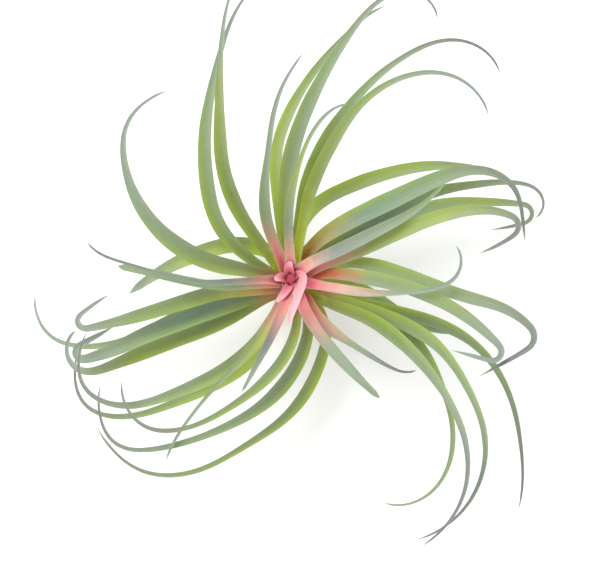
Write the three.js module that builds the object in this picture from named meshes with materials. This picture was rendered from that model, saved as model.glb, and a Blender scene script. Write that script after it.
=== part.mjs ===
// A bare bromeliad rosette (an air plant), built leaf by leaf around a short stem.
// Millimetres, +Z up. The axis of the stem is Z and its flat cut underside lies at z = 0.
import * as THREE from "three";

// --- Stem -------------------------------------------------------------------
const STEM_FOOT_RADIUS = 6.5; // flat cut underside
const STEM_TOP_RADIUS = 2.2;
const STEM_HEIGHT = 46;
const STEM_SIDES = 18;
const STEM_RINGS = [4, 12, 24, 36, 44]; // heights at which its taper is drawn
const CROWN_SHARE = 0.6; // radius of the rounded crown as a share of the top radius
const CROWN_DROP = 0.6; // height of that rounding
const STEM_CLEAR = 0.1; // the stem is this much slimmer than the line the leaves are set out from

// --- Where leaves leave the stem ----------------------------------------------
const FIRST_LEAF_HEIGHT = 5.5; // centre of the lowest leaf's base
const LAST_LEAF_HEIGHT = 43;
const GAP = 0.3; // clear space between a leaf's base and the stem

// --- Leaf section -------------------------------------------------------------
const MARGIN_THICKNESS = 0.4;
const MIDRIB_THICKNESS = 1.0; // at the widest part; thins with the leaf
const CHANNEL = 0.17; // depth of the channel as a share of the width
const BASE_CHANNEL = 0.3; // the same where the leaf clasps the stem
const CLASP_SHARE = 0.3; // the stretch of the reach over which a base opens into the blade
const BASE_WIDTH = 0.62; // width at the stem as a share of the widest
const TAPER_POWER = 7; // how suddenly the blade narrows where it has come to half its width
const TAIL_SHARE = 0.38; // width of the drawn-out tail as a share of the widest
const TAIL_TAPER = 5; // narrowing of the tail over a whole reach
const TIP_WIDTH = 0.7;
const KEEL_THICKNESS = 0.42; // midrib where the leaf is thinnest
const TIP_MARGIN = 0.6; // margin there, as a share of the full margin
const FOLD_SHARE = 0.11; // length of a fold as a share of the reach
const RINGS = 20; // sections along a leaf, before its tip
const TURN_SHARE = 0.22; // how strongly rings gather where the leaf turns, per radian
const RISE_SHARE = 0.7; // and how much a change of rise counts beside a change of heading
const SETTLING_PASSES = 12; // a resting leaf is bent down this often, nearer to the ground each time
const MIDRIB_STEPS = 240; // steps in which a midrib is laid out
const ROUNDING = 1e-9;

// --- How leaves rise ------------------------------------------------------------
// Degrees above level at each station along a leaf, for the lowest and the highest leaf.
// Those between go up in equal steps, so that each leaf passes over the ones below it.
const STATIONS = [0, 0.15, 0.3, 0.45, 0.6, 0.75, 0.87, 1];
const LOW_RISE = [38, 30, 20, 8, -6, -20, -32, -45];
const HIGH_RISE = [66, 55, 46, 38, 30, 20, 8, -8];
const HEART_RISE = [74, 66, 56, 46, 36, 26, 16, 6];
const HEART_HEIGHT = 44.1; // centre of the lowest heart leaf's base
const HEART_STEP = 0.25; // each heart leaf above the one before

// --- The leaves, tier by tier, lowest first -----------------------------------------
// reach: length of the midrib seen from above.
// width: widest, across both margins.
// half: share of the reach where the leaf has narrowed to half its width.
// turns: heading of the midrib from above at each station, degrees anticlockwise from +X.
// fold: degrees by which the tip turns back sharply, round the place "at" along the reach.
// lift: degrees added to every rise. rests: the leaf comes down onto the ground.
const TIERS = {
  outer_leaf: [
    { reach: 83, width: 7.4, half: 0.85, turns: [105, 155, 177, 196, 202, 206, 211, 212] },
    { reach: 83, width: 5.6, half: 0.65, turns: [18, -11, -25, -35, -30, -20, -5, -60] },
    { reach: 145, width: 5.6, half: 0.62, turns: [102, 97, 92, 69, 58, 51, 48, 32], rests: true },
    { reach: 172, width: 5.6, half: 0.44, turns: [-32, -95, -120, -145, -153, -184, -219, -241], rests: true },
    { reach: 136, width: 6.0, half: 0.66, turns: [44, 26, 25, 18, 4, 0, -5, -15], fold: -165, at: 0.845, rests: true },
    { reach: 134, width: 6.0, half: 0.5, turns: [196, 195, 203, 206, 190, 163, 122, 90], rests: true },
    { reach: 161, width: 5.8, half: 0.5, turns: [-10, -22, -15, -30, -56, -76, -84, -100], rests: true },
    { reach: 150, width: 6.8, half: 0.59, turns: [152, 140, 105, 91, 80, 76, 69, 52] },
    { reach: 143, width: 6.0, half: 0.5, turns: [-112, -116, -143, -155, -163, -196, -252, -283] },
    { reach: 124, width: 6.4, half: 0.7, turns: [88, 67, 28, 18, 11, 0, -8, -36] },
    { reach: 121, width: 7.5, half: 0.69, turns: [208, 214, 205, 203, 202, 192, 118, 42] },
    { reach: 154, width: 5.7, half: 0.44, turns: [-26, -23, -33, -63, -77, -107, -147, -203] },
    { reach: 137, width: 6.8, half: 0.57, turns: [128, 129, 112, 94, 90, 87, 82, 70] },
    { reach: 160, width: 6.6, half: 0.44, turns: [-57, -102, -128, -150, -162, -183, -246, -279] },
    { reach: 130, width: 6.2, half: 0.6, turns: [50, 26, 28, 24, 9, 3, -24, -150] },
    { reach: 121, width: 8.3, half: 0.71, turns: [206, 200, 203, 203, 206, 196, 190, 194], fold: -160, at: 0.81 },
    { reach: 172, width: 6.6, half: 0.42, turns: [-22, -24, -30, -56, -72, -105, -134, -166] },
    { reach: 159, width: 7.2, half: 0.54, turns: [98, 91, 76, 64, 57, 46, 4, -85] },
    { reach: 141, width: 6.6, half: 0.52, turns: [-115, -120, -141, -155, -165, -207, -264, -294] },
    { reach: 135, width: 8.4, half: 0.62, turns: [66, 32, 22, 23, 15, -25, -76, -84] },
  ],
  middle_leaf: [
    { reach: 114, width: 7.0, half: 0.66, turns: [200, 187, 199, 200, 197, 192, 190, 182], fold: -150, at: 0.815 },
    { reach: 159, width: 6.6, half: 0.45, turns: [-37, -25, -42, -54, -68, -94, -122, -150] },
    { reach: 154, width: 7.2, half: 0.44, turns: [80, 80, 65, 51, 38, 20, -17, -72] },
    { reach: 131, width: 5.2, half: 0.46, turns: [-74, -101, -126, -142, -153, -182, -231, -275] },
    { reach: 143, width: 6.2, half: 0.67, turns: [28, -5, -23, -24, -18, -45, -53, -53], fold: -98, at: 0.79 },
    { reach: 131, width: 8.0, half: 0.54, turns: [168, 176, 157, 134, 111, 87, 48, 20] },
    { reach: 142, width: 6.0, half: 0.48, turns: [76, 78, 63, 53, 30, 1, -34, -76] },
    { reach: 70, width: 6.0, half: 0.45, turns: [-48, -64, -48, -37, -34, -31, -20, 25] },
    { reach: 124, width: 6.6, half: 0.67, turns: [12, -12, -17, -26, -36, -46, -50, -52], fold: -145, at: 0.815 },
    { reach: 74, width: 4.0, half: 1.0, turns: [194, 191, 186, 175, 170, 168, 169, 165] },
  ],
  inner_leaf: [
    { reach: 97, width: 5.6, half: 0.41, turns: [117, 114, 93, 83, 82, 72, 60, 55] },
    { reach: 97, width: 3.6, half: 0.5, turns: [-112, -118, -122, -133, -131, -127, -122, -108], lift: -9 },
    { reach: 66, width: 5.4, half: 0.85, turns: [-66, -69, -61, -54, -50, -47, -44, -40] },
    { reach: 123, width: 6.6, half: 0.66, turns: [23, 14, 21, 18, 7, -18, -50, -66], fold: -95, at: 0.82, lift: -4 },
    { reach: 89, width: 3.4, half: 0.4, turns: [187, 191, 188, 175, 166, 165, 158, 125] },
    { reach: 86, width: 4.6, half: 0.42, turns: [-20, -17, -14, -4, 3, 21, 72, 128] },
    { reach: 78, width: 4.2, half: 0.48, turns: [92, 94, 85, 75, 69, 57, 40, 8] },
    { reach: 74, width: 5.8, half: 0.66, turns: [38, 18, 20, 23, 24, 32, 42, 46] },
    { reach: 55, width: 4.0, half: 0.7, turns: [-103, -103, -110, -113, -116, -117, -118, -120], lift: -5 },
  ],
  heart_leaf: [
    { reach: 28, width: 4.0, half: 0.85, turns: [28, -84, -104, -108, -109, -107, -105, -104] },
    { reach: 11, width: 3.4, half: 0.8, turns: [-104, -112, -118, -124, -128, -130, -134, -140] },
    { reach: 8, width: 3.0, half: 0.8, turns: [-36, -66, -88, -104, -112, -118, -122, -126] },
    { reach: 5, width: 3.0, half: 0.8, turns: [176, 180, 186, 192, 200, 208, 216, 224] },
    { reach: 5, width: 3.0, half: 0.8, turns: [104, 100, 92, 84, 76, 68, 60, 52] },
  ],
};

// --- Colours and finish ---------------------------------------------------------------
const TIER_COLOUR = {
  outer_leaf: 0x8fa36a,
  middle_leaf: 0x93ad80,
  inner_leaf: 0xb4bfb0,
  heart_leaf: 0xe08c98,
};
const LEAF_ROUGHNESS = 0.6;
const STEM_COLOUR = 0x8a6a4c;
const STEM_ROUGHNESS = 0.9;

// The value of a list at a place along the stations, on a smooth curve through it.
function along(list, u) {
  let i = 0;
  while (i < STATIONS.length - 2 && u > STATIONS[i + 1]) i++;
  const slope = (k) => {
    const a = Math.max(0, k - 1), b = Math.min(STATIONS.length - 1, k + 1);
    return (list[b] - list[a]) / (STATIONS[b] - STATIONS[a]);
  };
  const h = STATIONS[i + 1] - STATIONS[i], t = (u - STATIONS[i]) / h;
  return (
    list[i] * (2 * t ** 3 - 3 * t ** 2 + 1) +
    list[i + 1] * (3 * t ** 2 - 2 * t ** 3) +
    slope(i) * h * (t ** 3 - 2 * t ** 2 + t) +
    slope(i + 1) * h * (t ** 3 - t ** 2)
  );
}

const mix = THREE.MathUtils.lerp;
const rad = THREE.MathUtils.degToRad;
const ease = THREE.MathUtils.smoothstep;
const stemRadius = (z) => mix(STEM_FOOT_RADIUS, STEM_TOP_RADIUS, Math.min(1, z / STEM_HEIGHT));

// Full width of a leaf at u along it.
function widthAt(leaf, u) {
  const swell = mix(BASE_WIDTH, 1, ease(u, 0, CLASP_SHARE));
  const tail = Math.min(TAIL_SHARE * leaf.width, TIP_WIDTH + TAIL_TAPER * (1 - u));
  return tail + (leaf.width * swell - tail) / (1 + (u / leaf.half) ** TAPER_POWER);
}

// The midrib from the stem to the tip, as points with the heading and the rise there.
function midrib(leaf) {
  const start = rad(leaf.turns[0]), r = stemRadius(leaf.height) + GAP;
  const at = new THREE.Vector3(r * Math.cos(start), r * Math.sin(start), leaf.height);
  const step = leaf.reach / MIDRIB_STEPS;
  const points = [];
  for (let i = 0; i <= MIDRIB_STEPS; i++) {
    const u = i / MIDRIB_STEPS, rise = rad(along(leaf.rises, u));
    const folded = leaf.fold ? leaf.fold * ease(u, leaf.at - FOLD_SHARE / 2, leaf.at + FOLD_SHARE / 2) : 0;
    const turn = rad(along(leaf.turns, u) + folded);
    points.push({ u, turn, rise, at: at.clone() });
    at.x += Math.cos(turn) * step;
    at.y += Math.sin(turn) * step;
    at.z += Math.tan(rise) * step;
  }
  return points;
}

// Six points round a leaf at one place: both margins, the bed of the channel and the keel below it.
function section(leaf, p) {
  const half = widthAt(leaf, p.u) / 2;
  const share = Math.min(1, half / (leaf.width / 2));
  const up = half * 2 * mix(BASE_CHANNEL, CHANNEL, ease(p.u, 0, CLASP_SHARE));
  const margin = MARGIN_THICKNESS * mix(TIP_MARGIN, 1, share);
  const keel = mix(KEEL_THICKNESS, MIDRIB_THICKNESS, share);
  const level = Math.cos(p.rise);
  const ahead = new THREE.Vector3(Math.cos(p.turn) * level, Math.sin(p.turn) * level, Math.sin(p.rise));
  const right = new THREE.Vector3(Math.sin(p.turn), -Math.cos(p.turn), 0);
  const over = right.clone().cross(ahead);
  const place = (side, rise) => p.at.clone().addScaledVector(right, side).addScaledVector(over, rise);
  return [
    place(0, 0),
    place(half, up),
    place(half, up - margin),
    place(0, -keel),
    place(-half, up - margin),
    place(-half, up),
  ];
}

// Places along the leaf for its sections: closer together where it turns.
function places(points) {
  const load = [0];
  for (let i = 1; i < points.length; i++) {
    const [before, here] = [points[i - 1], points[i]];
    const turning = Math.abs(here.turn - before.turn) + RISE_SHARE * Math.abs(here.rise - before.rise);
    load.push(load[i - 1] + 1 / points.length + TURN_SHARE * turning);
  }
  const total = load[load.length - 1], chosen = [];
  for (let k = 0; k <= RINGS; k++) {
    const want = (total * k) / RINGS;
    chosen.push(points[load.findIndex((v) => v >= want - ROUNDING)]);
  }
  return chosen;
}

// The leaf as a closed solid: six-sided rings along the midrib, flat at the stem and drawn to a point.
function skin(leaf, points) {
  const rows = places(points), rings = rows.length - 1, tip = rings * 6;
  const corners = rows.slice(0, rings).flatMap((p) => section(leaf, p));
  corners.push(rows[rings].at.clone());
  const faces = [0, 5, 4, 0, 4, 3, 0, 3, 2, 0, 2, 1];
  for (let ring = 0; ring < rings; ring++)
    for (let k = 0; k < 6; k++) {
      const a = ring * 6 + k, b = ring * 6 + ((k + 1) % 6);
      if (ring < rings - 1) faces.push(a, b, b + 6, a, b + 6, a + 6);
      else faces.push(a, b, tip);
    }
  const geometry = new THREE.BufferGeometry().setFromPoints(corners);
  geometry.setIndex(faces);
  return geometry;
}

function leafGeometry(leaf) {
  const points = midrib(leaf);
  let geometry = skin(leaf, points);
  for (let pass = 0; leaf.rests && pass < SETTLING_PASSES; pass++) {
    geometry.computeBoundingBox();
    const drop = geometry.boundingBox.min.z;
    points.forEach((p) => (p.at.z -= drop * p.u ** 2));
    geometry = skin(leaf, points);
  }
  geometry.computeVertexNormals();
  return geometry;
}

function stemGeometry() {
  const profile = [[0, 0], [STEM_FOOT_RADIUS, 0]];
  for (const z of STEM_RINGS) profile.push([stemRadius(z) - STEM_CLEAR, z]);
  profile.push([STEM_TOP_RADIUS * CROWN_SHARE, STEM_HEIGHT - CROWN_DROP], [0, STEM_HEIGHT]);
  const g = new THREE.LatheGeometry(profile.map(([r, z]) => new THREE.Vector2(r, z)), STEM_SIDES);
  g.rotateX(Math.PI / 2);
  return g;
}

// --- The plant --------------------------------------------------------------------------
const plant = new THREE.Group();
plant.name = "bromeliad";

function add(name, geometry, color, roughness) {
  const mesh = new THREE.Mesh(geometry, new THREE.MeshStandardMaterial({ color, roughness }));
  mesh.name = name;
  plant.add(mesh);
}

add("stem", stemGeometry(), STEM_COLOUR, STEM_ROUGHNESS);

const rosette = TIERS.outer_leaf.length + TIERS.middle_leaf.length + TIERS.inner_leaf.length;
let order = 0;
for (const [tier, leaves] of Object.entries(TIERS))
  leaves.forEach((leaf, i) => {
    const q = order / (rosette - 1), lift = leaf.lift ?? 0;
    const inHeart = tier === "heart_leaf";
    const height = inHeart ? HEART_HEIGHT + i * HEART_STEP : mix(FIRST_LEAF_HEIGHT, LAST_LEAF_HEIGHT, q);
    const rosetteRise = (k) => mix(LOW_RISE[k], HIGH_RISE[k], q);
    const rises = STATIONS.map((_, k) => lift + (inHeart ? HEART_RISE[k] : rosetteRise(k)));
    const name = `${tier}_${String(i + 1).padStart(2, "0")}`;
    add(name, leafGeometry({ ...leaf, height, rises }), TIER_COLOUR[tier], LEAF_ROUGHNESS);
    order++;
  });

export default plant;
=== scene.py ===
"""A bare bromeliad rosette (an air plant): every leaf is rebuilt finely on the sections of its CAD solid.

Metres, +Z up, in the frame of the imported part. Leaves are channelled blades with a rounded keel,
raised veins and thin margins, drawn out to a thread at the tip; the stem is a short scarred stub.
"""
import math

import bmesh
import bpy
import numpy as np
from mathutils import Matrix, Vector


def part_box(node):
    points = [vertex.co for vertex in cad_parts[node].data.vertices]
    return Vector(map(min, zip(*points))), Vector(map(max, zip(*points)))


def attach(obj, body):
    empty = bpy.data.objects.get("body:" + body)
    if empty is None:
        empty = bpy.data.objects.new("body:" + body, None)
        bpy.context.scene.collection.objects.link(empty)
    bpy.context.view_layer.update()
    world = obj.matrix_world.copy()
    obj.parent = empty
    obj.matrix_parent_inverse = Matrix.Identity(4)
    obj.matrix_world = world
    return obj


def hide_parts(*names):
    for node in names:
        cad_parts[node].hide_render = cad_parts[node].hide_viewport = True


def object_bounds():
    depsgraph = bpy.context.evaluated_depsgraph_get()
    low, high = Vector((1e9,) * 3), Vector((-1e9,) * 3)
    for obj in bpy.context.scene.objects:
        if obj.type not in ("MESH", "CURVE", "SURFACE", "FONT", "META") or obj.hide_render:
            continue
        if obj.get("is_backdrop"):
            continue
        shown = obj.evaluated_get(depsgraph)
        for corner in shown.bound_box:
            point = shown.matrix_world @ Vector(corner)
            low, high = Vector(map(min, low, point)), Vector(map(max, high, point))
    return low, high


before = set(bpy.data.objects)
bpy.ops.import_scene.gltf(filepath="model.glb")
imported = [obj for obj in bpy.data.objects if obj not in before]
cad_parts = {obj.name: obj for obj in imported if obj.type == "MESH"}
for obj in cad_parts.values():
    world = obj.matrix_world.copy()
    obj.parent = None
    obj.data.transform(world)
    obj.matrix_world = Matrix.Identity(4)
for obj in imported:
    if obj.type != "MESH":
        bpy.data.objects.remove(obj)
CAD_LOW, CAD_HIGH = (np.array(corner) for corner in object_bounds())
MM = 0.001

# --- Leaf mesh ----------------------------------------------------------------------
CORNERS = 6              # a CAD section: bed, right margin top and bottom, keel, left margin bottom and top
FINENESS = 6             # finished sections for each CAD section
TOP_POINTS = 25          # across the upper face, margin to margin
UNDER_POINTS = 11        # across the underside
BED_CURVE = 1.7          # 1 is a sharp V channel, 2 a round one
KEEL_CURVE = 1.35
VEINS = 4                # raised veins wide enough to model; the finer ones are in the finish
VEIN_HEIGHT = 0.025 * MM
MARGIN_WAVE = 0.16 * MM  # how far a margin lifts and dips along the blade
WIDTH_WAVE = 0.035       # share by which the blade swells and narrows
WAVE_LENGTH = 17 * MM
WAVE_FREE = 10 * MM      # near its two ends a blade runs true
FULL_HALF = 2.5 * MM     # half width at which ripples and veins have their full height

# Where a leaf clasps the stem it opens out to this width, and is back to its own after this length.
FOOT_WIDTH = {"outer_leaf": 7.5 * MM, "middle_leaf": 7.2 * MM, "inner_leaf": 7.6 * MM, "heart_leaf": 4.4 * MM}
FOOT_LENGTH = {"outer_leaf": 22 * MM, "middle_leaf": 28 * MM, "inner_leaf": 40 * MM, "heart_leaf": 16 * MM}
FOOT_CUPPING = 1.3       # the channel deepens faster than the foot widens

# --- Stem -----------------------------------------------------------------------------
STEM_ROWS = 90
STEM_AROUND = 72
SCAR_STEP = 1.5 * MM     # height between the scars of fallen leaves
SCAR_DEPTH = 0.35 * MM
STEM_TAPER = 0.66        # share of its foot radius that the stem loses on the way up
STEM_INSET = 0.15 * MM   # how much slimmer it is drawn than its CAD solid

# --- Leaf colours, by the name of their tone --------------------------------------------
TONES = {
    "deep rose": "#A93C52",
    "rose": "#DE7082",
    "dusty rose": "#DE9490",
    "petal": "#EC8FA2",
    "petal edge": "#F2B6BF",
    "blush cream": "#DEAEA0",
    "rust": "#DA7454",
    "brown": "#CC8A60",
    "khaki": "#C8AC6E",
    "bright lime": "#C0DA1E",
    "lime": "#B4C62C",
    "yellow green": "#9BAC52",
    "leaf green": "#869958",
    "olive": "#8A9846",
    "dark olive": "#748A38",
    "sage": "#879870",
    "blue green": "#7B957E",
    "grey green": "#8B9980",
    "silver": "#8B928E",
    "lilac grey": "#78767A",
}
# Painted light: the lime of the channel flank that is painted as lit.
LIT_FLANK = "#BBD43C"
# Powder of silver scales, pink on the heart leaves; the same colours also paint the sheen on one flank of the
# channel.
SCALE_BLOOM_AND_SHEEN = "#96A294"
HEART_BLOOM_AND_SHEEN = "#EFA9B6"
DRY_MARGIN = "#99A079"
YOUNG_STEM = "#A8455A"
TONE_STOPS = (0.03, 0.15, 0.34, 0.62, 0.88)  # places along the blade of a leaf's five tones

# Each leaf's tones from where it clasps the stem to its tip.
LEAF_TONES = {
    "outer_leaf_01": ("brown", "lime", "yellow green", "yellow green", "grey green"),
    "outer_leaf_02": ("rust", "yellow green", "leaf green", "leaf green", "grey green"),
    "outer_leaf_03": ("khaki", "olive", "yellow green", "leaf green", "grey green"),
    "outer_leaf_04": ("khaki", "yellow green", "leaf green", "leaf green", "lilac grey"),
    "outer_leaf_05": ("lime", "grey green", "blue green", "yellow green", "silver"),
    "outer_leaf_06": ("khaki", "yellow green", "leaf green", "sage", "silver"),
    "outer_leaf_07": ("dusty rose", "yellow green", "leaf green", "sage", "lilac grey"),
    "outer_leaf_08": ("olive", "leaf green", "leaf green", "sage", "silver"),
    "outer_leaf_09": ("rose", "yellow green", "yellow green", "leaf green", "lilac grey"),
    "outer_leaf_10": ("bright lime", "bright lime", "yellow green", "yellow green", "grey green"),
    "outer_leaf_11": ("brown", "leaf green", "leaf green", "yellow green", "silver"),
    "outer_leaf_12": ("lime", "olive", "leaf green", "leaf green", "grey green"),
    "outer_leaf_13": ("lime", "olive", "dark olive", "olive", "silver"),
    "outer_leaf_14": ("rust", "leaf green", "sage", "sage", "lilac grey"),
    "outer_leaf_15": ("brown", "grey green", "blue green", "leaf green", "silver"),
    "outer_leaf_16": ("brown", "sage", "blue green", "sage", "silver"),
    "outer_leaf_17": ("dusty rose", "yellow green", "leaf green", "sage", "lilac grey"),
    "outer_leaf_18": ("yellow green", "yellow green", "sage", "sage", "silver"),
    "outer_leaf_19": ("rose", "khaki", "leaf green", "sage", "lilac grey"),
    "outer_leaf_20": ("rust", "khaki", "blue green", "sage", "lilac grey"),
    "middle_leaf_01": ("dusty rose", "khaki", "leaf green", "leaf green", "silver"),
    "middle_leaf_02": ("lime", "olive", "dark olive", "grey green", "lilac grey"),
    "middle_leaf_03": ("lime", "olive", "dark olive", "sage", "lilac grey"),
    "middle_leaf_04": ("brown", "yellow green", "leaf green", "leaf green", "lilac grey"),
    "middle_leaf_05": ("dusty rose", "yellow green", "leaf green", "sage", "lilac grey"),
    "middle_leaf_06": ("brown", "leaf green", "leaf green", "grey green", "silver"),
    "middle_leaf_07": ("bright lime", "lime", "olive", "leaf green", "silver"),
    "middle_leaf_08": ("rose", "rose", "dusty rose", "grey green", "lilac grey"),
    "middle_leaf_09": ("rust", "rust", "sage", "leaf green", "silver"),
    "middle_leaf_10": ("rose", "dusty rose", "grey green", "blue green", "sage"),
    "inner_leaf_01": ("rose", "dusty rose", "sage", "grey green", "silver"),
    "inner_leaf_02": ("rose", "dusty rose", "yellow green", "sage", "grey green"),
    "inner_leaf_03": ("rose", "rose", "dusty rose", "grey green", "grey green"),
    "inner_leaf_04": ("rose", "dusty rose", "yellow green", "yellow green", "lilac grey"),
    "inner_leaf_05": ("rose", "dusty rose", "silver", "grey green", "lilac grey"),
    "inner_leaf_06": ("rose", "rose", "blush cream", "grey green", "silver"),
    "inner_leaf_07": ("petal", "blush cream", "grey green", "yellow green", "silver"),
    "inner_leaf_08": ("rose", "blush cream", "silver", "grey green", "sage"),
    "inner_leaf_09": ("rose", "rose", "dusty rose", "lilac grey", "grey green"),
    "heart_leaf_01": ("rose", "petal", "petal edge", "petal edge", "petal edge"),
    "heart_leaf_02": ("deep rose", "rose", "petal", "petal", "petal edge"),
    "heart_leaf_03": ("deep rose", "deep rose", "rose", "petal", "petal edge"),
    "heart_leaf_04": ("deep rose", "deep rose", "rose", "petal", "petal edge"),
    "heart_leaf_05": ("deep rose", "deep rose", "rose", "petal", "petal edge"),
}


def linear(colour):
    """An sRGB hex colour as linear red, green, blue and alpha."""
    channels = (int(colour[i:i + 2], 16) / 255 for i in (1, 3, 5))
    return (*(c / 12.92 if c <= 0.04045 else ((c + 0.055) / 1.055) ** 2.4 for c in channels), 1.0)


def add(tree, kind, inputs=None, stops=None, **settings):
    """Adds a shader node. inputs holds values, or the sockets linked to them; stops are a colour ramp's."""
    node = tree.nodes.new("ShaderNode" + kind)
    for name, value in settings.items():
        setattr(node, name, value)
    for key, value in (inputs or {}).items():
        if isinstance(value, bpy.types.NodeSocket):
            tree.links.new(value, node.inputs[key])
        else:
            node.inputs[key].default_value = value
    for i, (place, colour) in enumerate(stops or ()):
        element = node.color_ramp.elements[i] if i < 2 else node.color_ramp.elements.new(place)
        element.position = place
        element.color = linear(colour)
    return node


def new_material(name):
    """An empty node material and its Principled shader, already linked to the output."""
    material = bpy.data.materials.new(name)
    material.use_nodes = True
    tree = material.node_tree
    tree.nodes.clear()
    shader = add(tree, "BsdfPrincipled")
    add(tree, "OutputMaterial", {"Surface": shader.outputs["BSDF"]})
    return material, tree, shader


# --- Leaf blades ------------------------------------------------------------------------

def leaf_sections(node):
    """The CAD leaf's sections from the stem to the tip, as an array of (section, corner, xyz)."""
    mesh = bmesh.new()
    mesh.from_mesh(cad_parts[node].data)
    bmesh.ops.remove_doubles(mesh, verts=mesh.verts, dist=0.002 * MM)
    beyond = {}
    after = {}
    for face in mesh.faces:
        a, b, c = (v.index for v in face.verts)
        for first, second, third in ((a, b, c), (b, c, a), (c, a, b)):
            beyond[first, second] = third
            after.setdefault(first, {})[second] = third
    valence = {v.index: len(v.link_edges) for v in mesh.verts}
    places = np.array([v.co for v in mesh.verts])
    mesh.free()
    # The bed corner at the stem is the fan centre of the leaf's flat end: it alone has seven neighbours.
    bed = next(v for v, count in valence.items() if count == CORNERS + 1)
    right = next(v for v, following in after[bed].items() if valence[v] == 4 and valence[following] == 6)
    ring = [bed, right]
    fan = after[bed]
    corner = fan[fan[fan[right]]]
    rest = []
    while corner != right:
        rest.append(corner)
        corner = fan[corner]
    ring += rest[::-1]
    rings = [ring]
    while True:
        onward = [beyond[ring[k], ring[(k + 1) % CORNERS]] for k in range(CORNERS)]
        ring = [onward[k - 1] for k in range(CORNERS)]
        rings.append(ring)
        if len(set(ring)) == 1:
            break
    return places[np.array(rings)]


def smooth(tracks):
    """Tracks sampled finely on smooth curves, with the shares of the bed's length and that length."""
    steps = np.linalg.norm(np.diff(tracks[:, 0], axis=0), axis=1)
    reached = np.concatenate([[0], np.cumsum(steps)])
    length = reached[-1]
    count = len(steps) * FINENESS
    spots = np.interp(np.linspace(0, len(steps), count + 1), np.arange(len(reached)), reached / length)
    slope = np.empty_like(tracks)
    slope[1:-1] = (tracks[2:] - tracks[:-2]) / (reached[2:] - reached[:-2])[:, None, None]
    slope[0] = (tracks[1] - tracks[0]) / steps[0]
    slope[-1] = (tracks[-1] - tracks[-2]) / steps[-1]
    at = spots * length
    i = np.clip(np.searchsorted(reached, at, side="right") - 1, 0, len(steps) - 1)
    h = steps[i][:, None, None]
    t = ((at - reached[i]) / steps[i])[:, None, None]
    made = tracks[i] * (2 * t ** 3 - 3 * t ** 2 + 1) + tracks[i + 1] * (3 * t ** 2 - 2 * t ** 3)
    made += h * (slope[i] * (t ** 3 - 2 * t ** 2 + t) + slope[i + 1] * (t ** 3 - t ** 2))
    return made, spots, length


def blade_points(sections, seed, tier):
    """Rows of points round a finished blade, with their places along and across it."""
    rows, spots, length = smooth(sections)
    bed, right_top, right_low, keel, left_low, left_top = (rows[:, k][:, None, :] for k in range(CORNERS))
    side, rise = (right_top - left_top) / 2, (right_top + left_top) / 2 - bed
    low_side, low_rise = (right_low - left_low) / 2, (right_low + left_low) / 2 - keel
    half = np.linalg.norm(side, axis=2, keepdims=True)
    over = np.cross(side, np.gradient(rows[:, 0], axis=0)[:, None, :])
    over /= np.maximum(np.linalg.norm(over, axis=2, keepdims=True), 1e-9)
    walked = (spots * length)[:, None, None]
    foot = max(0, FOOT_WIDTH[tier] / 2 - half[0, 0, 0]) * np.clip(1 - walked / FOOT_LENGTH[tier], 0, 1) ** 2
    opened = 1 + foot / np.maximum(half, MM)
    cupped = 1 + FOOT_CUPPING * (opened - 1)
    side, low_side, rise, low_rise = side * opened, low_side * opened, rise * cupped, low_rise * cupped
    ends = np.minimum(1, np.minimum(walked, length - walked) / WAVE_FREE)
    wave = np.sin(2 * math.pi * walked / WAVE_LENGTH * 0.6 + 3.1 * seed)
    swell = 1 - WIDTH_WAVE * ends * (0.5 + 0.5 * wave)
    thick = np.minimum(1, half / FULL_HALF)

    def face(start, reach, lift, share, curve):
        share = share[None, :, None]
        wave = np.sin(2 * math.pi * walked / WAVE_LENGTH + 1.9 * seed + 2.2 * np.sign(share))
        ripple = MARGIN_WAVE * ends * thick * wave * np.abs(share) ** 3
        return start + reach * swell * share + lift * np.abs(share) ** curve + over * ripple

    across_top = np.sin(np.linspace(math.pi / 2, -math.pi / 2, TOP_POINTS))
    across_top = 0.5 * across_top + 0.5 * np.linspace(1, -1, TOP_POINTS)
    across_low = np.linspace(-1, 1, UNDER_POINTS + 2)[1:-1]
    top = face(bed, side, rise, across_top, BED_CURVE)
    ridges = np.cos(2 * math.pi * VEINS * across_top / 2)[None, :, None]
    ridges = ridges * (1 - across_top[None, :, None] ** 6)
    top += over * VEIN_HEIGHT * thick * ridges
    low_edge_left = face(keel, low_side, low_rise, np.array([-1.0]), KEEL_CURVE)
    low_edge_right = face(keel, low_side, low_rise, np.array([1.0]), KEEL_CURVE)
    low = face(keel, low_side, low_rise, across_low, KEEL_CURVE)
    points = np.concatenate([top, low_edge_left, low, low_edge_right], axis=1)
    across = np.concatenate([across_top, [-1.0], across_low, [1.0]])
    under = np.concatenate([np.zeros(TOP_POINTS), [0.5], np.ones(UNDER_POINTS), [0.5]])
    return points, spots, across, under, length


def blade_mesh(name, points, spots, across, under, length):
    """The blade as a closed mesh that carries its places along and across as attributes."""
    rows, around = points.shape[:2]
    body = points[:-1].reshape(-1, 3)
    tip = points[-1, 0]
    verts = np.clip(np.vstack([body, tip]), CAD_LOW, CAD_HIGH)
    faces = [tuple(range(around))[::-1]]
    for row in range(rows - 2):
        for k in range(around):
            a, b = row * around + k, row * around + (k + 1) % around
            faces.append((a, b, b + around, a + around))
    last = (rows - 2) * around
    faces += [(last + k, last + (k + 1) % around, len(body)) for k in range(around)]
    mesh = bpy.data.meshes.new(name)
    mesh.from_pydata(verts.tolist(), [], faces)
    mesh.polygons.foreach_set("use_smooth", [len(f) < 5 for f in faces])
    columns = {
        "along": np.append(np.repeat(spots[:-1], around), 1.0),
        "across": np.append(np.tile(across, rows - 1), 0.0),
        "under": np.append(np.tile(under, rows - 1), 0.5),
        "run": np.append(np.repeat(spots[:-1], around), 1.0) * length,
    }
    for key, values in columns.items():
        mesh.attributes.new(key, "FLOAT", "POINT").data.foreach_set("value", values.astype(np.float32))
    mesh.update()
    return mesh


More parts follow.
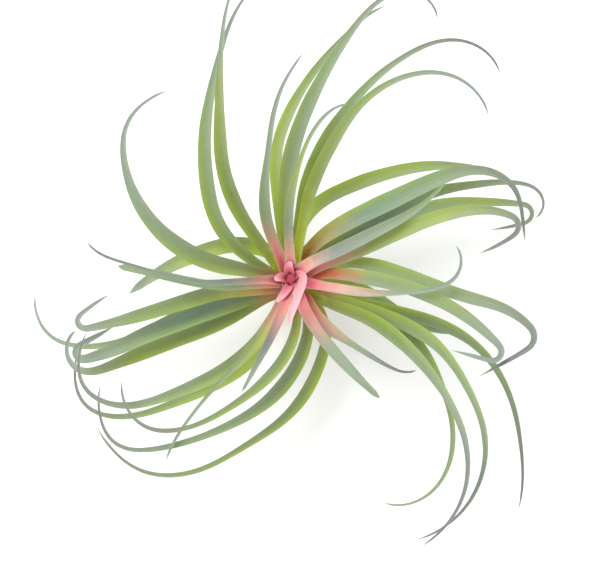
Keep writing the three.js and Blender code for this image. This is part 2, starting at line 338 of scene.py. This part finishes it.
def facing_out(mesh):
    """Turns a mesh's faces outwards."""
    work = bmesh.new()
    work.from_mesh(mesh)
    bmesh.ops.recalc_face_normals(work, faces=work.faces)
    work.to_mesh(mesh)
    work.free()


def place(mesh, node, slot, material):
    """Puts a finished piece in the scene in place of its CAD node."""
    piece = bpy.data.objects.new(mesh.name, mesh)
    bpy.context.collection.objects.link(piece)
    mesh.materials.append(material)
    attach(piece, "root")
    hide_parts(node)
    return piece


# --- Finishes ---------------------------------------------------------------------------

def leaf_skin(tones, tier):
    """Living leaf skin: waxy and satin under a fine silver powder of scales, with pale lengthwise veins.

    The eye gets soft broad highlights, a chalky powder that thickens on the margins, the underside and
    towards the tip, and colour that runs from the flushed base to the dry grey thread at the end.
    Painted light lies on top: one flank of the channel is painted lit and limy, the other with a grey
    painted sheen, and the foot is painted brighter.
    """
    material, tree, shader = new_material("leaf_skin_" + "_".join(t.replace(" ", "") for t in tones))
    # How strongly each tier's flank is painted as lit.
    lit_flank_strength = {"outer_leaf": 0.46, "middle_leaf": 0.38, "inner_leaf": 0.12, "heart_leaf": 0.0}[tier]
    # One colour serves the real powder of scales and the painted sheen.
    bloom_and_sheen = HEART_BLOOM_AND_SHEEN if tier == "heart_leaf" else SCALE_BLOOM_AND_SHEEN
    along = add(tree, "Attribute", attribute_name="along").outputs["Fac"]
    across = add(tree, "Attribute", attribute_name="across").outputs["Fac"]
    under = add(tree, "Attribute", attribute_name="under").outputs["Fac"]
    run = add(tree, "Attribute", attribute_name="run").outputs["Fac"]
    where = add(tree, "TexCoord").outputs["Object"]

    # Cloudy drift of one tone into the next: patches about 6 mm across.
    cloud = add(tree, "TexNoise", {"Vector": where, "Scale": 1 / (6 * MM), "Detail": 3.0}).outputs["Fac"]
    drift = add(tree, "Math", {0: cloud, 1: 0.5}, operation="SUBTRACT").outputs[0]
    drifted = add(tree, "Math", {0: drift, 1: 0.14, 2: along}, operation="MULTIPLY_ADD").outputs[0]
    stops = [(p, TONES[t]) for p, t in zip(TONE_STOPS, tones)]
    tone = add(tree, "ValToRGB", {"Fac": drifted}, stops=stops).outputs["Color"]

    # Fine veins run the whole length: about 14 across the blade, each broken up over some 12 mm.
    veins_at = add(tree, "CombineXYZ", {"X": across, "Y": run}).outputs[0]
    vein_map = add(tree, "Mapping", {"Vector": veins_at, "Scale": (7.0, 1 / (12 * MM), 1.0)}).outputs[0]
    veins = add(tree, "TexNoise", {"Vector": vein_map, "Scale": 1.0, "Detail": 2.5}).outputs["Fac"]
    vein_shade = add(tree, "MapRange", {0: veins, 1: 0.3, 2: 0.7, 3: 0.90, 4: 1.08}).outputs[0]
    # Painted light: the foot is painted brighter, up to 1.32 times its tone at the stem, to make up for the
    # shadow among the leaf bases.
    foot = add(tree, "MapRange", {0: along, 1: 0.0, 2: 0.36, 3: 1.32, 4: 1.0}).outputs[0]
    veins_and_painted_lift = add(tree, "Math", {0: vein_shade, 1: foot}, operation="MULTIPLY").outputs[0]
    # The vein pattern and the painted brightening of the foot, laid on the tone together.
    veined_and_lifted = add(tree, "VectorMath", {0: tone, "Scale": veins_and_painted_lift}, operation="SCALE").outputs[0]

    # Painted light: one flank of the channel is painted as lit, limy with light glowing through it; the other
    # is painted greyer, a painted sheen.
    green = add(tree, "MapRange", {0: along, 1: 0.06, 2: 0.22, 3: 0.0, 4: 1.0}).outputs[0]
    before_tail = add(tree, "MapRange", {0: along, 1: 0.3, 2: 0.75, 3: 1.0, 4: 0.0}).outputs[0]
    blade = add(tree, "Math", {0: green, 1: before_tail}, operation="MULTIPLY").outputs[0]
    # The left flank is painted lit, the right flank is painted with sheen.
    left = add(tree, "MapRange", {0: across, 1: 0.1, 2: -0.9, 3: 0.0, 4: lit_flank_strength}).outputs[0]
    right = add(tree, "MapRange", {0: across, 1: 0.0, 2: 0.9, 3: 0.0, 4: 0.34}).outputs[0]
    lit = add(tree, "Math", {0: left, 1: blade}, operation="MULTIPLY").outputs[0]
    painted_lit_flank = add(tree, "Mix", {0: lit, 6: veined_and_lifted, 7: linear(LIT_FLANK)}, data_type="RGBA").outputs[2]
    painted_sheen_flank = add(tree, "Mix", {0: right, 6: painted_lit_flank, 7: linear(bloom_and_sheen)}, data_type="RGBA").outputs[2]

    # The margins are thin and dry.
    off_centre = add(tree, "Math", {0: across}, operation="ABSOLUTE").outputs[0]
    edge = add(tree, "MapRange", {0: off_centre, 1: 0.9, 2: 1.0, 3: 0.0, 4: 0.3}).outputs[0]
    edged = add(tree, "Mix", {0: edge, 6: painted_sheen_flank, 7: linear(DRY_MARGIN)}, data_type="RGBA").outputs[2]

    # Powder of silver scales, really 0.1 mm grains; drawn at 0.5 mm so that it shows.
    grains = add(tree, "TexNoise", {"Vector": where, "Scale": 1 / (0.5 * MM), "Detail": 2.0}).outputs["Fac"]
    patches = add(tree, "TexNoise", {"Vector": where, "Scale": 1 / (3 * MM), "Detail": 2.0}).outputs["Fac"]
    powder = add(tree, "Math", {0: grains, 1: patches}, operation="MULTIPLY").outputs[0]
    dusting = add(tree, "MapRange", {0: powder, 1: 0.14, 2: 0.42, 3: 0.0, 4: 0.30}).outputs[0]
    far = add(tree, "MapRange", {0: along, 1: 0.2, 2: 1.0, 3: 0.7, 4: 1.3}).outputs[0]
    dust = add(tree, "Math", {0: dusting, 1: far}, operation="MULTIPLY").outputs[0]
    more = add(tree, "Math", {0: under, 1: 0.22, 2: dust}, operation="MULTIPLY_ADD").outputs[0]
    dusted = add(tree, "Mix", {0: more, 6: edged, 7: linear(bloom_and_sheen)}, data_type="RGBA").outputs[2]

    rough = add(tree, "MapRange", {0: powder, 1: 0.1, 2: 0.45, 3: 0.46, 4: 0.72}).outputs[0]
    height = add(tree, "Math", {0: veins, 1: 1.6, 2: grains}, operation="MULTIPLY_ADD").outputs[0]
    bump = add(tree, "Bump", {"Height": height, "Strength": 0.4, "Distance": 0.12 * MM}).outputs[0]
    tree.links.new(dusted, shader.inputs["Base Color"])
    tree.links.new(rough, shader.inputs["Roughness"])
    tree.links.new(bump, shader.inputs["Normal"])
    shader.inputs["IOR"].default_value = 1.42
    shader.inputs["Subsurface Weight"].default_value = 0.35
    shader.inputs["Subsurface Radius"].default_value = (0.8, 1.0, 0.3)
    shader.inputs["Subsurface Scale"].default_value = 1.2 * MM
    shader.inputs["Sheen Weight"].default_value = 0.1
    shader.inputs["Sheen Roughness"].default_value = 0.5
    return material


def dry_stem_bark():
    """Corky bark of a short dead stem: matt brown fibres."""
    material, tree, shader = new_material("dry_stem_bark")
    where = add(tree, "TexCoord").outputs["Object"]
    fibres_at = add(tree, "Mapping", {"Vector": where, "Scale": (1.0, 1.0, 0.18)}).outputs[0]
    grain = {"Vector": fibres_at, "Scale": 1 / (0.8 * MM), "Detail": 4.0}
    fibres = add(tree, "TexNoise", grain).outputs["Fac"]
    stops = [(0.3, "#5B4030"), (0.7, "#A98563"), (0.52, "#86644A")]
    bark = add(tree, "ValToRGB", {"Fac": fibres}, stops=stops).outputs["Color"]
    # Among the youngest leaves the stem is still soft and rosy.
    height = add(tree, "SeparateXYZ", {"Vector": where}).outputs["Z"]
    young = add(tree, "MapRange", {0: height, 1: 24 * MM, 2: 38 * MM, 3: 0.0, 4: 1.0}).outputs[0]
    colour = add(tree, "Mix", {0: young, 6: bark, 7: linear(YOUNG_STEM)}, data_type="RGBA").outputs[2]
    rough = add(tree, "MapRange", {0: fibres, 3: 0.75, 4: 0.98}).outputs[0]
    bump = add(tree, "Bump", {"Height": fibres, "Strength": 0.6, "Distance": 0.3 * MM}).outputs[0]
    tree.links.new(colour, shader.inputs["Base Color"])
    tree.links.new(rough, shader.inputs["Roughness"])
    tree.links.new(bump, shader.inputs["Normal"])
    return material


def white_card():
    """Smooth matt card under the plant: near white, with the faintest fibre."""
    material, tree, shader = new_material("white_card")
    where = add(tree, "TexCoord").outputs["Object"]
    fibre = add(tree, "TexNoise", {"Vector": where, "Scale": 1 / (2 * MM), "Detail": 3.0}).outputs["Fac"]
    stops = [(0.0, "#F7F7F6"), (1.0, "#FAFAFA")]
    colour = add(tree, "ValToRGB", {"Fac": fibre}, stops=stops).outputs["Color"]
    tree.links.new(colour, shader.inputs["Base Color"])
    shader.inputs["Roughness"].default_value = 0.9
    # The card is lit a little from below, as on a light table, which keeps shadows faint.
    shader.inputs["Emission Color"].default_value = linear("#FFFFFF")
    shader.inputs["Emission Strength"].default_value = CARD_GLOW
    return material


# --- Pieces -----------------------------------------------------------------------------

def make_leaves():
    finishes = {}
    for number, (node, tones) in enumerate(LEAF_TONES.items()):
        tier = node[:-3]
        if (tones, tier) not in finishes:
            finishes[tones, tier] = leaf_skin(tones, tier)
        mesh = blade_mesh(node + "_blade", *blade_points(leaf_sections(node), number, tier))
        facing_out(mesh)
        place(mesh, node, tier, finishes[tones, tier])


def make_stem():
    high = np.array(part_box("stem")[1])
    foot, height = high[0], high[2]
    mesh = bpy.data.meshes.new("stem_stub")
    verts, faces = [], []
    for row in range(STEM_ROWS + 1):
        z = height * row / STEM_ROWS
        radius = foot * (1 - STEM_TAPER * z / height) - STEM_INSET
        for k in range(STEM_AROUND):
            turn = 2 * math.pi * k / STEM_AROUND
            spiral = z / SCAR_STEP + 2.5 * turn / math.pi
            scar = SCAR_DEPTH * abs(math.sin(spiral * math.pi / 2)) ** 3
            r = max(radius - scar, 0.6 * MM)
            verts.append((r * math.cos(turn), r * math.sin(turn), z))
    for row in range(STEM_ROWS):
        for k in range(STEM_AROUND):
            a, b = row * STEM_AROUND + k, row * STEM_AROUND + (k + 1) % STEM_AROUND
            faces.append((a, b, b + STEM_AROUND, a + STEM_AROUND))
    faces.append(tuple(range(STEM_AROUND))[::-1])
    faces.append(tuple(STEM_ROWS * STEM_AROUND + k for k in range(STEM_AROUND)))
    mesh.from_pydata(verts, [], faces)
    mesh.polygons.foreach_set("use_smooth", [len(f) == 4 for f in faces])
    facing_out(mesh)
    place(mesh, "stem", "stem", dry_stem_bark())


# --- Studio -----------------------------------------------------------------------------
FLOOR_SIZE = 6.0
CAMERA_ELEVATION = math.radians(84)
CAMERA_DISTANCE = 1.5
CAMERA_LENS = 200.0
AIM = Vector((4.05 * MM, 0, 40 * MM))
AIM_DROP = 0.9 * MM          # the aim sits this far below the heart of the rosette in the view
DOME_STRENGTH = 0.78
KEY_POWER = 26.0
CARD_GLOW = 0.12
SOFTBOX_SIZE = (1.4, 1.0)
SOFTBOX_PLACE = (-0.7, 0.5, 1.6)


def make_studio():
    mesh = bpy.data.meshes.new("floor")
    s = FLOOR_SIZE / 2
    mesh.from_pydata([(-s, -s, 0), (s, -s, 0), (s, s, 0), (-s, s, 0)], [], [(0, 1, 2, 3)])
    mesh.materials.append(white_card())
    floor = bpy.data.objects.new("floor", mesh)
    bpy.context.collection.objects.link(floor)
    floor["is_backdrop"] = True

    world = bpy.data.worlds.new("soft_white_room")
    world.use_nodes = True
    world.node_tree.nodes["Background"].inputs["Color"].default_value = linear("#FFFFFF")
    world.node_tree.nodes["Background"].inputs["Strength"].default_value = DOME_STRENGTH
    bpy.context.scene.world = world

    key = bpy.data.lights.new("overhead_softbox", "AREA")
    key.shape = "RECTANGLE"
    key.size, key.size_y = SOFTBOX_SIZE
    key.energy = KEY_POWER
    softbox = bpy.data.objects.new("overhead_softbox", key)
    softbox.location = SOFTBOX_PLACE
    softbox.rotation_euler = (-softbox.location).to_track_quat("-Z", "Y").to_euler()
    bpy.context.collection.objects.link(softbox)


def make_camera():
    back = Vector((0, -math.cos(CAMERA_ELEVATION), math.sin(CAMERA_ELEVATION)))
    up = Vector((0, math.sin(CAMERA_ELEVATION), math.cos(CAMERA_ELEVATION)))
    aim = AIM - up * AIM_DROP
    lens = bpy.data.cameras.new("camera")
    lens.lens = CAMERA_LENS
    lens.clip_end = 20
    camera = bpy.data.objects.new("camera", lens)
    camera.location = aim + back * CAMERA_DISTANCE
    camera.rotation_euler = (-back).to_track_quat("-Z", "Y").to_euler()
    bpy.context.collection.objects.link(camera)
    bpy.context.scene.camera = camera


make_camera()
make_studio()
make_stem()
make_leaves()
bpy.context.scene.view_settings.view_transform = "Standard"
